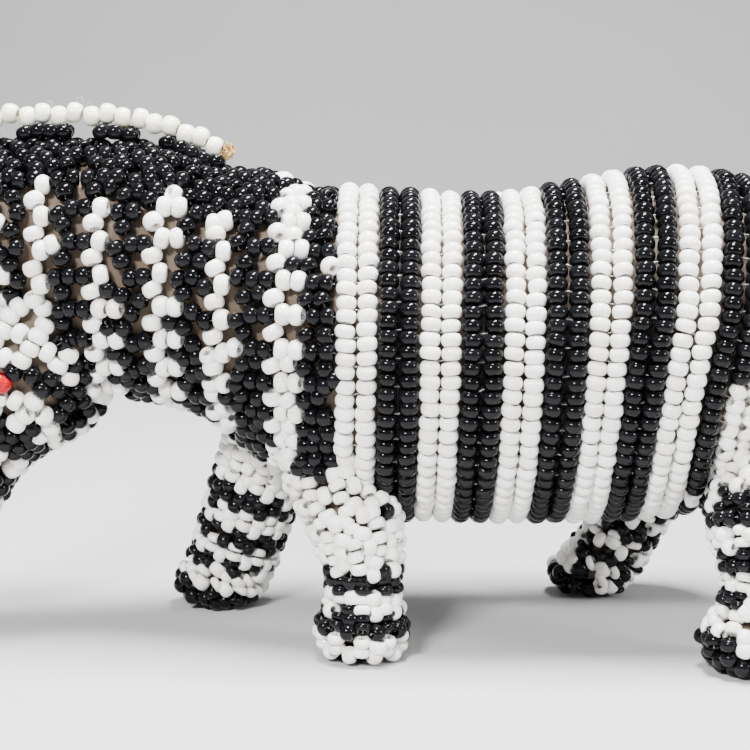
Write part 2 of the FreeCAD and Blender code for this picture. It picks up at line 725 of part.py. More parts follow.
def build_tail(trunk_outer):
    """A dock on the rump, a loop of line whose stem turns in it, and the strand that swings in the loop."""
    pivot = shifted(size("tail_pivot_x"), 0, size("tail_pivot_z"))
    root = shifted(size("trunk_rump_x") - 2, 0, size("tail_pivot_z"))
    line = "Dimensions.loop_line"
    bore = "Dimensions.loop_line + 2 * Dimensions.loop_gap"
    back = pivot - AXIS_X * size("loop_reach")
    face = back - AXIS_X * (size("loop_line") / 2 + size("running_gap"))
    stem_end = back - AXIS_X * size("stem_length")

    dock = line_rod("dock_solid", root, pivot, "Dimensions.dock_diameter")
    room = 10.0
    beyond = box("dock_face", face - Vector(0, room / 2, room / 2), (room, room, room))
    socket = line_rod("dock_socket", stem_end - AXIS_X * size("running_gap"), pivot, bore)
    keep(cut("dock_clear", dock, trunk_outer, beyond, socket), "tail_dock")

    # the loop: stem along X, a crosspiece behind the strand, two arms, and the run through the strand's eye
    side = AXIS_Y * size("loop_side")
    runs = [
        (stem_end, back),
        (back - side, back + side),
        (back - side, pivot - side),
        (back + side, pivot + side),
        (pivot - side, pivot + side),
    ]
    pieces = [line_rod(f"loop_run_{number}", start, end, line) for number, (start, end) in enumerate(runs)]
    for number, corner in enumerate((back - side, back + side, pivot - side, pivot + side)):
        ball = make("Part::Sphere", f"loop_bend_{number}")
        bind(ball, Radius="Dimensions.loop_line / 2")
        ball.Placement = FreeCAD.Placement(corner, FreeCAD.Rotation())
        pieces.append(ball)
    keep(fuse("loop_solid", pieces), "tail_link")

    # the strand hangs from its top bead, whose hole lies across the figure
    half = AXIS_Y * (size("eye_length") / 2)
    eye = line_rod("strand_eye", pivot - half, pivot + half, "Dimensions.eye_diameter")
    under_hole = pivot - AXIS_Z * (size("eye_diameter") / 3)
    strand_end = pivot - AXIS_Z * size("strand_length")
    run = line_rod("strand_run", strand_end, under_hole, "Dimensions.strand_diameter")
    hole = line_rod("strand_hole", pivot - side, pivot + side, bore)
    keep(cut("strand_clear", fuse("strand_solid", [run, eye]), hole), "tail_strand")

    tassel = make("Part::Cone", "tassel_solid")
    bind(tassel, Radius1="Dimensions.tassel_diameter / 2", Radius2="Dimensions.strand_diameter / 2",
         Height="Dimensions.tassel_length")
    tassel.Placement = FreeCAD.Placement(strand_end - AXIS_Z * size("tassel_length"), FreeCAD.Rotation())
    keep(tassel, "tail_tassel")


# ---------------------------------------------------------------- build, test, write

def check_document():
    """Stop if any object failed, or any sub-part is not a valid solid."""
    for thing in doc.Objects:
        if "Invalid" in thing.State or "Error" in thing.State:
            raise RuntimeError(f"{thing.Name} ({thing.Label}) failed: {thing.State}")
    for thing in subparts:
        shape = thing.Shape
        if shape.isNull() or not shape.isValid() or not shape.Solids:
            raise RuntimeError(f"{thing.Label} is not a valid solid")


def write_parts():
    """One STEP file for each sub-part."""
    os.makedirs("parts", exist_ok=True)
    for thing in subparts:
        thing.Shape.exportStep(f"parts/{thing.Label}.step")


def report_size():
    """Print each sub-part's solids and volume, and the whole figure's box."""
    whole = FreeCAD.BoundBox()
    for thing in subparts:
        shape = thing.Shape
        whole.add(shape.BoundBox)
        print(f"{thing.Label}: {len(shape.Solids)} solid(s), {shape.Volume:.1f} mm3")
    print(f"{len(subparts)} sub-parts; x {whole.XMin:.3f} to {whole.XMax:.3f}, "
          f"y {whole.YMin:.3f} to {whole.YMax:.3f}, z {whole.ZMin:.3f} to {whole.ZMax:.3f}")


fill_sheet()
outer_forms = all_forms("outside", OUTSIDE)
inner_forms = all_forms("under_beads", UNDER_BEADS)
core_forms = all_forms("under_tape", TAPED_CORE)
wire_channels = build_armature()
build_cores(core_forms, wire_channels)
build_barrel(outer_forms, inner_forms)
build_neck(outer_forms, inner_forms)
seats = build_eyes()
build_nostrils(seats)
build_head(outer_forms, inner_forms, seats)
build_leg_nets(outer_forms, inner_forms)
build_mane(outer_forms["neck"])
build_ears(outer_forms["neck"])
build_tail(outer_forms["trunk"])
doc.recompute()
check_document()
write_parts()
report_size()
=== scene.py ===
"""A beaded zebra figure: glass seed beads on nylon line over a taped padding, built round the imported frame.

Every bead is placed on the surface of the padded cores that the frame holds. Lengths are in metres; the named
sizes below are given in millimetres and multiplied by MM.
"""
import json
import math

import bmesh
import bpy
import numpy as np
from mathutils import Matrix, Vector, noise as fractal
from mathutils.bvhtree import BVHTree


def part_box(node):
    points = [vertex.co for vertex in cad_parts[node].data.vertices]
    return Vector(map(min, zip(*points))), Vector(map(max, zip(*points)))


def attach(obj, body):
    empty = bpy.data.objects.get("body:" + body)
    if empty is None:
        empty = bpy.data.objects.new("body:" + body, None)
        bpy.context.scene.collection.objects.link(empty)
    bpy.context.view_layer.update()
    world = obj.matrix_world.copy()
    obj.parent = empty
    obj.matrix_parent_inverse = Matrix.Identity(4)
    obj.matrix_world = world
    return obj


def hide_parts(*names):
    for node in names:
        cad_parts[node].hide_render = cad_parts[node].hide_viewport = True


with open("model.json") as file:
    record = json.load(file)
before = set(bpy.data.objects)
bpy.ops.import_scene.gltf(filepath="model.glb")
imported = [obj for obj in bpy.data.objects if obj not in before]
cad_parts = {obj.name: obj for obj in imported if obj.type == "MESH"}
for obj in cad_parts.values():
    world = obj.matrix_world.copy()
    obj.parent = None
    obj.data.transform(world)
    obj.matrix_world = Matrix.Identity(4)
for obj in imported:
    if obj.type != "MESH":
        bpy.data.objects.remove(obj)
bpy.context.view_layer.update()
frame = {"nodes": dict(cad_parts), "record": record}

MM = 0.001
rng = np.random.default_rng(11)

# ======== sizes

BEAD = 2.2 * MM  # outside diameter of a seed bead
BEAD_LENGTH = 1.56 * MM  # along its hole
WHITE_RING_BEAD = 2.26 * MM
BLACK_RING_BEAD = 2.34 * MM
CREST_BEAD = 2.4 * MM
CREST_LENGTH = 1.8 * MM
TAPE_GAP = 0.12 * MM  # between the tape and the beads
THREAD = 0.14 * MM

RING_PITCH = 2.24 * MM  # between neighbouring rings of the trunk, at the middle of its height
FAN_RADIUS = 409 * MM  # the ring planes meet on an axis this far below the middle of the trunk
RING_BEAD_PITCH = 1.53 * MM  # between beads along a ring
HERRINGBONE = math.radians(7)
BARREL_STRIPES = 11

CELL = 3.45 * MM  # net cell along the neck: two beads, their holes along it, and a little slack
ROW = 3.77 * MM  # net cell round the neck: a bead's width, and the length of a connector
WHITE_NET_BEAD = (2.36 * MM, 1.62 * MM)  # outside diameter and length; the white beads are a little larger
BLACK_NET_BEAD = (2.18 * MM, 1.54 * MM)
LEG_BEAD = 2.05 * MM
LEG_ROW = 3.1 * MM
CLOSING_PITCH = 1.6 * MM  # between the beads of the small rings that close a muzzle or a sole

UP = Vector((0, 0, 1))
LEFT = Vector((0, -1, 0))
BACK = Vector((1, 0, 0))


def low_high(node):
    """A node's box as two numpy points."""
    low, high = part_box(node)
    return np.array(low), np.array(high)


SHOULDER_X = low_high("neck_stripe_01_black")[1][0]
FAN_X = SHOULDER_X + 1.005 * RING_PITCH  # where the plane of a ring stands upright
BARREL_HEIGHT = 32.3 * MM
CENTRE_RISE = 1.5 * MM  # of the rings' centres above the trunk's middle

# Line from the poll to the muzzle, which lies in the middle plane.
HEAD_PITCH = math.radians(56)
HEAD_AXIS = Vector((-math.cos(HEAD_PITCH), 0, -math.sin(HEAD_PITCH)))
HEAD_ACROSS = Vector((math.sin(HEAD_PITCH), 0, -math.cos(HEAD_PITCH)))
EYE_ALONG = 11.6 * MM  # where the eye is, along the head from the poll and across it
EYE_OFFSET = -0.6 * MM
EYE = Vector((low_high("eye_beads")[0] + low_high("eye_beads")[1]) / 2)
POLL = EYE - HEAD_AXIS * EYE_ALONG - HEAD_ACROSS * EYE_OFFSET

# ======== surfaces


def tree_of(*names):
    """A search tree over the meshes of some CAD nodes."""
    points = []
    faces = []
    for name in names:
        mesh = frame["nodes"][name].data
        base = len(points)
        points.extend(v.co.copy() for v in mesh.vertices)
        faces.extend([base + i for i in p.vertices] for p in mesh.polygons)
    return BVHTree.FromPolygons(points, faces)


LEGS = ("front_left", "front_right", "rear_left", "rear_right")
body_tree = tree_of("body_core")
neck_tree = tree_of("neck_core")
head_tree = tree_of("head_core")
leg_trees = {leg: tree_of(f"{leg}_leg_core") for leg in LEGS}
shoulders = (leg_trees["front_left"], leg_trees["front_right"])
haunches = (leg_trees["rear_left"], leg_trees["rear_right"])


# Rays in this direction tell whether a point is inside a form. Each starts a little beyond the last hit.
LOOK = Vector((0.31, 0.17, 0.93)).normalized()
PAST_HIT = 1e-6


def depth_inside(tree, point, limit=8 * MM):
    """How far a point is inside a closed surface; negative outside, and very negative when far away."""
    near, _, _, distance = tree.find_nearest(point, limit)
    if near is None:
        return -limit
    faces = 0
    start = point
    while True:
        hit = tree.ray_cast(start, LOOK)[0]
        if hit is None:
            break
        faces += 1
        start = hit + LOOK * PAST_HIT
    return distance if faces % 2 else -distance


def distances_along(line):
    """How far along a line each of its points is."""
    return np.concatenate([[0], np.cumsum(np.linalg.norm(np.diff(line, axis=0), axis=1))])


def smooth_line(line, even, rounds):
    """A line through a few points, read at even distances and smoothed between its ends."""
    marks = distances_along(line)
    points = np.stack([np.interp(even, marks, column) for column in line.T], axis=1)
    for _ in range(rounds):
        points[1:-1] = (points[:-2] + 2 * points[1:-1] + points[2:]) / 4
    return points


class Ring:
    """A closed line round a form, in one plane, lifted off its surface by half a bead."""

    STRIDE = 0.3 * MM  # the ring's direction is taken over this far on both sides

    def __init__(self, points, normals):
        self.points = np.vstack([points, points[:1]])
        self.normals = np.vstack([normals, normals[:1]])
        self.marks = distances_along(self.points)
        self.length = self.marks[-1]

    def read(self, rows, distance):
        """What rows, one for each point of the ring, say at a distance from the start."""
        return Vector([np.interp(distance % self.length, self.marks, column) for column in rows.T])

    def at(self, distance):
        """Place, direction round the ring and outward normal at a distance from the start."""
        distance = distance % self.length
        ahead, behind = (self.read(self.points, distance + s) for s in (self.STRIDE, -self.STRIDE))
        normal = self.read(self.normals, distance)
        return self.read(self.points, distance), (ahead - behind).normalized(), normal.normalized()

    def middle(self):
        """Mean of the ring's points."""
        return sum((Vector(p) for p in self.points[:-1]), Vector()) / (len(self.points) - 1)


def crossings(ring, height):
    """Where a ring that starts at its bottom passes a height, going up on one side and down on the other."""
    levels = ring.points[:, 2] - height
    ups = [k for k in range(len(levels) - 1) if levels[k] < 0 <= levels[k + 1]]
    downs = [k for k in range(len(levels) - 1) if levels[k] >= 0 > levels[k + 1]]
    if not ups or not downs:
        return None
    found = []
    for k in (ups[0], downs[-1]):
        share = levels[k] / (levels[k] - levels[k + 1])
        found.append(ring.marks[k] + share * (ring.marks[k + 1] - ring.marks[k]))
    return found


def smooth_round(values, width):
    """Running mean of a closed row."""
    total = values.copy()
    for shift in range(1, width + 1):
        total += np.roll(values, shift, axis=0) + np.roll(values, -shift, axis=0)
    return total / (2 * width + 1)


def outline(tree, centre, axis, start, lift, reach=40 * MM, over=(), over_limit=4.5 * MM, count=160):
    """The ring where a plane cuts a form, found by looking in from outside, and lifted off it.

    over holds other forms that may stand on the first: the ring climbs over them by up to over_limit.
    """
    side = axis.cross(start).normalized()
    ahead = side.cross(axis).normalized()
    radii = np.zeros(count)
    normals = np.zeros((count, 3))
    arms = np.zeros((count, 3))
    for step in range(count):
        angle = 2 * math.pi * step / count
        arm = ahead * math.cos(angle) + side * math.sin(angle)
        arms[step] = normals[step] = arm
        for form in (tree, *over):
            hit, normal, _, distance = form.ray_cast(centre + arm * reach, -arm, reach)
            if hit and (form is tree or 0 < reach - distance - radii[step] < over_limit):
                radii[step] = reach - distance
                normals[step] = normal
    radii = smooth_round(radii, 2)
    normals = smooth_round(normals, 4)
    normals /= np.linalg.norm(normals, axis=1)[:, None]
    points = np.array(centre)[None, :] + arms * radii[:, None] + normals * lift
    return Ring(points, normals)


# ======== beads

# One bead's outline: radius as a share of the outside radius, height as a share of half the length.
BEAD_OUTLINE = ((0.34, -0.62), (0.34, 0.62), (0.43, 0.89), (0.57, 1.0), (0.73, 0.91), (0.87, 0.70),
                (0.965, 0.38), (1.0, 0.0), (0.965, -0.38), (0.87, -0.70), (0.73, -0.91), (0.57, -1.0),
                (0.43, -0.89))
BEAD_SIDES = 14


def bead_template():
    """Points and four-sided faces of a bead of radius 1 and half length 1, its hole along Z."""
    profile = np.array(BEAD_OUTLINE)
    angles = np.arange(BEAD_SIDES) * 2 * math.pi / BEAD_SIDES
    points = np.array([(r * math.cos(a), r * math.sin(a), h) for a in angles for r, h in profile])
    size = len(profile)
    faces = []
    for side in range(BEAD_SIDES):
        for step in range(size):
            a = side * size + step
            b = side * size + (step + 1) % size
            c = (side + 1) % BEAD_SIDES * size + (step + 1) % size
            d = (side + 1) % BEAD_SIDES * size + step
            faces.append((a, d, c, b))
    return points, np.array(faces)


TEMPLATE_POINTS, TEMPLATE_FACES = bead_template()


# A bead is added where its distance from every other is at least this share of the room that the two need.
LOOSE = 0.84
NET = 0.80
CLOSE = 0.66
NEIGHBOURS = [(x, y, z) for x in (-1, 0, 1) for y in (-1, 0, 1) for z in (-1, 0, 1)]


class Beads:
    """Beads that belong to named pieces, with a check that beads of different nets don't share a place."""

    GRID = 2.4 * MM
    SAME_PLACE = 0.3 * MM

    def __init__(self):
        self.pieces = {}
        self.grid = {}

    def cell(self, place):
        """The cell of the search grid that a place is in."""
        return tuple(int(math.floor(c / self.GRID)) for c in place)

    def around(self, place):
        """The beads in a place's own cell and in those round it."""
        x, y, z = self.cell(place)
        for dx, dy, dz in NEIGHBOURS:
            yield from self.grid.get((x + dx, y + dy, z + dz), ())

    def crowded(self, place, hole, girth, reach, slack):
        """Whether a bead would run into one that is already there. Beads are taken as flattened balls."""
        for there, *its_shape, _ in self.around(place):
            gap = there - place
            distance = gap.length
            if distance < self.SAME_PLACE:
                return True
            room = 0.0
            for axis, wide, long in ((hole, girth, reach), its_shape):
                share = (gap.dot(axis) / distance) ** 2
                room += math.sqrt(share * long * long + (1 - share) * wide * wide) / 2
            if distance < room * slack:
                return True
        return False

    def nearest(self, place):
        """The nearest bead of a ring or a net: how far it is, its hole and its piece."""
        found = None
        for there, hole, _, _, piece in self.around(place):
            distance = (there - place).length
            if ("net" in piece or "stripe" in piece) and (found is None or distance < found[0]):
                found = (distance, hole, piece)
        return found

    def put(self, piece, place, hole, outward, diameter=BEAD, length=BEAD_LENGTH, slack=LOOSE,
            wobble=0.07, shake=0.05 * MM):
        """Add a bead if there is room. Its hole runs along hole, and outward is away from the form."""
        draws = rng.normal(size=8)
        if self.crowded(place, hole, diameter, length, slack):
            return False
        key = self.cell(place)
        self.grid.setdefault(key, []).append((place.copy(), hole.copy(), diameter, length, piece))
        hole = (hole + Vector(draws[:3]) * wobble).normalized()
        place = place + Vector(draws[3:6]) * shake
        girth = diameter * (1 + 0.02 * draws[6])
        reach = length * (1 + 0.03 * draws[7])
        self.pieces.setdefault(piece, []).append((place, hole, outward, girth, reach))
        return True


def bead_arrays(beads):
    """Points, faces and tone of many beads, as one mesh."""
    count = len(beads)
    per = len(TEMPLATE_POINTS)
    points = np.zeros((count, per, 3))
    tones = rng.random(count)
    for number, (place, hole, outward, girth, reach) in enumerate(beads):
        across = hole.cross(outward)
        if across.length < 1e-3:
            across = hole.orthogonal()
        across.normalize()
        up = across.cross(hole)
        basis = np.array([up, across, hole])
        scaled = TEMPLATE_POINTS * np.array([girth / 2, girth / 2, reach / 2])
        points[number] = scaled @ basis + np.array(place)
    faces = (TEMPLATE_FACES[None, :, :] + (np.arange(count) * per)[:, None, None]).reshape(-1, 4)
    return points.reshape(-1, 3), faces, np.repeat(tones, per)


def in_scene(name, data):
    """A new object in the scene."""
    made = bpy.data.objects.new(name, data)
    bpy.context.scene.collection.objects.link(made)
    return made


def mesh_object(name, points, faces, material, tones=None):
    """An object from numpy points and four-sided faces."""
    mesh = bpy.data.meshes.new(name)
    mesh.vertices.add(len(points))
    mesh.vertices.foreach_set("co", np.asarray(points, np.float32).ravel())
    mesh.loops.add(faces.size)
    mesh.loops.foreach_set("vertex_index", faces.ravel().astype(np.int32))
    mesh.polygons.add(len(faces))
    mesh.polygons.foreach_set("loop_start", np.arange(0, faces.size, 4, dtype=np.int32))
    mesh.polygons.foreach_set("use_smooth", np.ones(len(faces), bool))
    mesh.update(calc_edges=True)
    mesh.validate()
    if tones is not None:
        layer = mesh.attributes.new("bead_tone", "FLOAT", "POINT")
        layer.data.foreach_set("value", tones.astype(np.float32))
    mesh.materials.append(material)
    return in_scene(name, mesh)


# ======== materials


def grey(value):
    """A colour without hue."""
    return value, value, value


class Look:
    """A material in the making: its shader, and the nodes that feed it."""

    def __init__(self, name, constants):
        self.material = bpy.data.materials.new(name)
        self.material.use_nodes = True
        self.tree = self.material.node_tree
        self.shader = self.fit(self.tree.nodes["Principled BSDF"], {}, constants)

    def fit(self, node, feeds, constants):
        """Give a node's sockets, by their names, the outputs that feed them or their constant values."""
        for socket, source in feeds.items():
            self.tree.links.new(source, node.inputs[socket])
        for socket, value in constants.items():
            node.inputs[socket].default_value = value
        return node

    def add(self, kind, feeds=(), **constants):
        """A new node."""
        return self.fit(self.tree.nodes.new(f"ShaderNode{kind}"), dict(feeds), constants)

    def feed(self, socket, source):
        """Feed one of the shader's sockets."""
        self.fit(self.shader, {socket: source}, {})

    def ramp(self, source, *stops):
        """A colour ramp fed from an output."""
        node = self.add("ValToRGB", {"Fac": source})
        elements = node.color_ramp.elements
        while len(elements) < len(stops):
            elements.new(0.5)
        for element, (position, colour) in zip(elements, stops):
            element.position = position
            element.color = (*colour, 1)
        return node.outputs["Color"]

    def texture(self, kind, **constants):
        """A texture in the object's own space."""
        where = self.add("TexCoord").outputs["Object"]
        return self.add(kind, {"Vector": where}, **constants).outputs["Fac"]

    def noise(self, scale, detail=3.0):
        """Soft noise."""
        return self.texture("TexNoise", Scale=scale, Detail=detail)

    def times(self, first, second):
        """One colour multiplied by another."""
        node = self.add("MixRGB", {"Color1": first, "Color2": second}, Fac=1.0)
        node.blend_type = "MULTIPLY"
        return node.outputs["Color"]

    def bump(self, height, strength, distance):
        """Relief on the shader."""
        node = self.add("Bump", {"Height": height}, Strength=strength, Distance=distance)
        self.feed("Normal", node.outputs["Normal"])


def glass_bead(name, dark, light, roughness, coat, gleam=0.5):
    """Opaque glass: each bead has its own tone, with slight streaks from the drawn cane."""
    look = Look(name, {"IOR": 1.45, "Specular IOR Level": gleam, "Coat Weight": coat, "Coat Roughness": 0.04})
    tone = look.add("Attribute")
    tone.attribute_name = "bead_tone"
    base = look.ramp(tone.outputs["Fac"], (0.0, dark), (1.0, light))
    streak = look.ramp(look.noise(900, 2), (0.3, grey(0.9)), (0.7, grey(1)))
    look.feed("Base Color", look.times(base, streak))
    gloss = look.ramp(look.noise(420), (0.35, grey(roughness * 0.75)), (0.7, grey(roughness * 1.5)))
    look.feed("Roughness", gloss)
    look.bump(look.noise(260), 0.12, 0.05 * MM)
    return look.material


def tape_material():
    """Brownish cloth tape: fine weave, soft stains, and painted shade: its colour is darkened below the
    tape's own tan to stand for the shade in the gaps between the beads.
    """
    look = Look("tan_cloth_tape", {"Roughness": 0.8})
    # painted shade: both ends of this ramp are darker than the tape's own tan, for the shade that falls in
    # the gaps between the beads; the noise between them gives soft stains
    stains_and_gap_shade = look.ramp(look.noise(120), (0.3, (0.098, 0.070, 0.046)), (0.7, (0.160, 0.122, 0.084)))
    weave = look.texture("TexWave", Scale=900, Distortion=1.5)
    look.feed("Base Color", look.times(stains_and_gap_shade, look.ramp(weave, (0.0, grey(0.93)), (1.0, grey(1)))))
    look.bump(weave, 0.3, 0.05 * MM)
    return look.material


def tinted(name, constants, scale, *stops, relief=None):
    """A colour that varies softly, and relief as the scale, strength and depth of its noise."""
    look = Look(name, constants)
    look.feed("Base Color", look.ramp(look.noise(scale), *stops))
    if relief:
        look.bump(look.noise(relief[0]), *relief[1:])
    return look.material


def thread_material():
    """Clear nylon line."""
    return tinted("nylon_line", {"Roughness": 0.15, "IOR": 1.53, "Transmission Weight": 0.6}, 500,
                  (0.3, (0.42, 0.41, 0.38)), (0.7, (0.6, 0.6, 0.57)))


def glue_material():
    """A drop of dried glue on knotted thread."""
    return tinted("glued_knot", {"Roughness": 0.3}, 700, (0.35, (0.25, 0.10, 0.03)),
                  (0.5, (0.62, 0.42, 0.16)), (0.65, (0.80, 0.70, 0.42)), relief=(900, 0.5, 0.15 * MM))


def wire_material():
    """Drawn steel wire."""
    return tinted("drawn_wire", {"Metallic": 1.0, "Roughness": 0.35}, 1500, (0.3, (0.42, 0.42, 0.43)),
                  (0.7, grey(0.62)), relief=(2500, 0.2, 0.02 * MM))


def floor_material():
    """Pale studio paper."""
    return tinted("pale_paper", {"Roughness": 0.75}, 8, (0.3, grey(0.43)), (0.7, grey(0.46)))


BLACK = glass_bead("black_glass", (0.002, 0.002, 0.0025), (0.005, 0.005, 0.006), 0.10, 0.0, gleam=0.18)
WHITE = glass_bead("white_glass", (0.80, 0.77, 0.73), (0.91, 0.90, 0.88), 0.20, 0.2)
CREAM = glass_bead("cream_glass", (0.86, 0.83, 0.66), (0.92, 0.90, 0.78), 0.20, 0.2)
RED = glass_bead("red_glass", (0.30, 0.001, 0.006), (0.38, 0.002, 0.008), 0.16, 0.0, gleam=0.25)
TAPE = tape_material()
NYLON = thread_material()
GLUE = glue_material()
WIRE = wire_material()
FLOOR = floor_material()

# ======== the beads of the figure

beads = Beads()


def fan_plane(turns):
    """Centre, normal and downward direction of the plane of a ring, counted from the shoulder."""
    angle = turns * RING_PITCH / FAN_RADIUS
    radial = Vector((math.sin(angle), 0, math.cos(angle)))
    normal = Vector((math.cos(angle), 0, -math.sin(angle)))
    axis = Vector((FAN_X, 0, BARREL_HEIGHT - FAN_RADIUS))
    return axis + radial * (FAN_RADIUS + CENTRE_RISE), normal, -radial


LIFT = BEAD / 2 + TAPE_GAP
BURIED = 0.45 * MM  # a bead whose middle is nearer than this to another form is left out
LOWEST = 0.95 * MM  # and one whose middle is lower than this
BEND_TOP = 20.5 * MM  # below this the first rings on the left side bend back round the shoulder
BEND_DEPTH = 8.0 * MM
BEND_REACH = 3.6 * MM
HAUNCH_BOW = 0.9 * MM  # how far the last rings on the left side bow forward, and where most
HAUNCH_LEVEL = 25 * MM
HAUNCH_LEAN = 0.9  # radians: how the beads of the net on a haunch lean, one way and the other
# The front edge of that net: heights, and how far it is behind the shoulder there, in millimetres.
HAUNCH_HEIGHTS = (15.6, 16.8, 21.6, 27.7, 31.4)
HAUNCH_EDGE = (38.2, 38.9, 41.0, 42.5, 43.0)


def shoulder_bend(turns, place):
    """How far a bead of one of the first rings is pushed back by the left foreleg."""
    if place.y > 0 or turns > 2.6:
        return 0.0
    share = min(max((BEND_TOP - place.z) / BEND_DEPTH, 0.0), 1.0)
    return BEND_REACH * share * share * (3 - 2 * share) * (1 - (turns + 0.5) / 3.2)


def haunch_bow(turns, place):
    """How far a bead of one of the last rings bows forward in front of the left haunch, at half height."""
    if place.y > 0:
        return 0.0
    late = min(max((turns - 11) / 5, 0.0), 1.0)
    return -HAUNCH_BOW * late * max(0.0, 1 - ((place.z - HAUNCH_LEVEL) / (14 * MM)) ** 2)


def on_haunch(turns, place):
    """Whether a place on the trunk is covered by the net of a hind leg, which reaches up the haunch."""
    level = place.z / MM
    edge = np.interp(level, HAUNCH_HEIGHTS, HAUNCH_EDGE)
    return (turns > 15 and abs(place.y) > 7 * MM and HAUNCH_HEIGHTS[0] < level < HAUNCH_HEIGHTS[-1]
            and (place.x - SHOULDER_X) / MM > edge)


def buried(place, *trees):
    """Whether a place is inside a form, or so near to it that a bead there is left out."""
    return any(depth_inside(tree, place) > -BURIED for tree in trees)


stitches = []  # straight runs of line that show between the beads


def trunk_ring(ring, turns, piece, tilt, slack=NET):
    """One ring of beads, their holes along the ring, each tilted the same way."""
    count = max(6, round(ring.length / RING_BEAD_PITCH))
    for number in range(count):
        place, along, normal = ring.at(ring.length * (number + 0.5) / count)
        place = place + Vector((shoulder_bend(turns, place) + haunch_bow(turns, place), 0, 0))
        if buried(place, *leg_trees.values()):
            continue
        axis = normal.cross(along)
        if on_haunch(turns, place):
            side = "left" if place.y < 0 else "right"
            lean = HAUNCH_LEAN if number % 2 else -HAUNCH_LEAN
            hole = along * math.cos(lean) + axis * math.sin(lean)
            beads.put(f"rear_{side}_net_white", place, hole, normal, slack=0.72, wobble=0.15)
            continue
        # the tilt is mirrored on the far side, so that both sides show the same slant
        slant = tilt if along.z * normal.y < 0 else -tilt
        hole = along * math.cos(slant) + axis * math.sin(slant)
        girth = WHITE_RING_BEAD if piece.endswith("white") else BLACK_RING_BEAD
        put = beads.put(piece, place, hole, normal, diameter=girth, length=ring.length / count * 0.985,
                        wobble=0.05, slack=slack)
        if put and tilt > 0 and number % 2:
            middle = place + axis * 0.5 * RING_PITCH + along * 0.5 * RING_BEAD_PITCH + normal * 0.05 * MM
            across = axis * math.copysign(0.55 * MM, axis.x) + along * rng.normal() * 0.1 * MM
            stitches.append((middle - across, middle + across))


CLOSING = 18  # from about this ring on, the rump slopes in


def ring_turns(number):
    """How many pitches behind the shoulder a ring stands; the last two close up where the rump slopes in."""
    turns = number - 0.5
    return turns - 0.22 * max(0.0, turns - CLOSING - 0.5)


def barrel_rings():
    """The trunk's stripes: pairs of rings, white first."""
    for stripe in range(BARREL_STRIPES):
        colour = "black" if stripe % 2 else "white"
        piece = f"barrel_stripe_{stripe + 1:02d}_{colour}"
        for half, tilt in ((0, HERRINGBONE), (1, -HERRINGBONE)):
            turns = ring_turns(2 * stripe + half)
            over = shoulders if turns < 4 else haunches if turns > 12 else ()
            ring = outline(body_tree, *fan_plane(turns), LIFT, over=over)
            trunk_ring(ring, turns, piece, tilt, slack=CLOSE if turns > CLOSING else NET)


SMALLEST_RING = 12 * MM
MOST_RUMP_RINGS = 14


def rump_rings():
    """Rings that close the rump, each one pitch further along the surface where they are furthest apart."""
    turns = ring_turns(2 * BARREL_STRIPES - 1)
    centre, axis, down = fan_plane(turns)
    last = outline(body_tree, centre, axis, down, LIFT)
    number = 0
    while number < MOST_RUMP_RINGS:
        centre = centre + axis * 0.1 * MM
        ring = outline(body_tree, centre, axis, down, LIFT, count=48)
        if ring.length < SMALLEST_RING:
            break
        gaps = np.linalg.norm(ring.points[:, None] - last.points[None], axis=2).min(axis=1)
        if np.percentile(gaps, 75) > RING_PITCH:
            last = outline(body_tree, centre, axis, down, LIFT)
            number += 1
            piece = "rump_cap_white" if (number - 1) // 2 % 2 else "rump_stripe_black"
            trunk_ring(last, turns + number, piece, HERRINGBONE if number % 2 else -HERRINGBONE, slack=CLOSE)


barrel_rings()
rump_rings()


def bead_size(piece):
    """Diameter and length of a net bead."""
    return BLACK_NET_BEAD if piece.endswith("black") else WHITE_NET_BEAD


def net_bead(piece, place, hole, normal, keep_out, sizes=None, wobble=0.11):
    """One bead of a net, unless its place is kept out of."""
    if not keep_out(place):
        diameter, length = sizes or bead_size(piece)
        beads.put(piece, place, hole, normal, diameter=diameter, length=length, slack=NET, wobble=wobble)


def pair(place_a, place_b, normal_a, normal_b, pieces, keep_out, sizes=None):
    """Two beads of a net on one line, end to end."""
    direction = (place_b - place_a).normalized()
    for piece, place, normal in zip(pieces, (place_a, place_b), (normal_a, normal_b)):
        net_bead(piece, place, direction, normal, keep_out, sizes)


def connector(ring, distance, piece_of, keep_out, sizes=None, lean=0.0):
    """One bead of a net, its hole round the tube or leaning from it."""
    place, along, normal = ring.at(distance)
    hole = along * math.cos(lean) + normal.cross(along) * math.sin(lean)
    net_bead(piece_of(place), place, hole, normal, keep_out, sizes, wobble=0.12)


def closing_rows(ring, shares):
    """Smaller and smaller rows of beads inside a ring: number, place from the middle, and direction."""
    for row, share in enumerate(shares):
        count = max(1, round(ring.length * share / CLOSING_PITCH))
        for number in range(count):
            place, along, _ = ring.at(ring.length * number / count)
            yield row, (place - ring.middle()) * share, along


# ---- eyes and nostrils, before the net round them

def build_eyes():
    """A red bead on each side of the head, and a black one on each side of the muzzle."""
    for node, piece, diameter, length in (("eye_beads", "red_eye_beads", 2.6 * MM, 1.9 * MM),
                                          ("nostril_beads", "nostril_beads", BEAD, BEAD_LENGTH)):
        low, high = low_high(node)
        middle = (low + high) / 2
        for y in (low[1] + diameter / 2, high[1] - diameter / 2):
            outward = Vector((0, math.copysign(1, y), 0))
            beads.put(piece, Vector((middle[0], y, middle[2])), HEAD_AXIS, outward, diameter=diameter,
                      length=length, wobble=0.02)


build_eyes()

# ---- neck

NECK_STRIPES = 11
ROW_LEVEL = 42.4 * MM  # one row of the neck's net lies at about this height
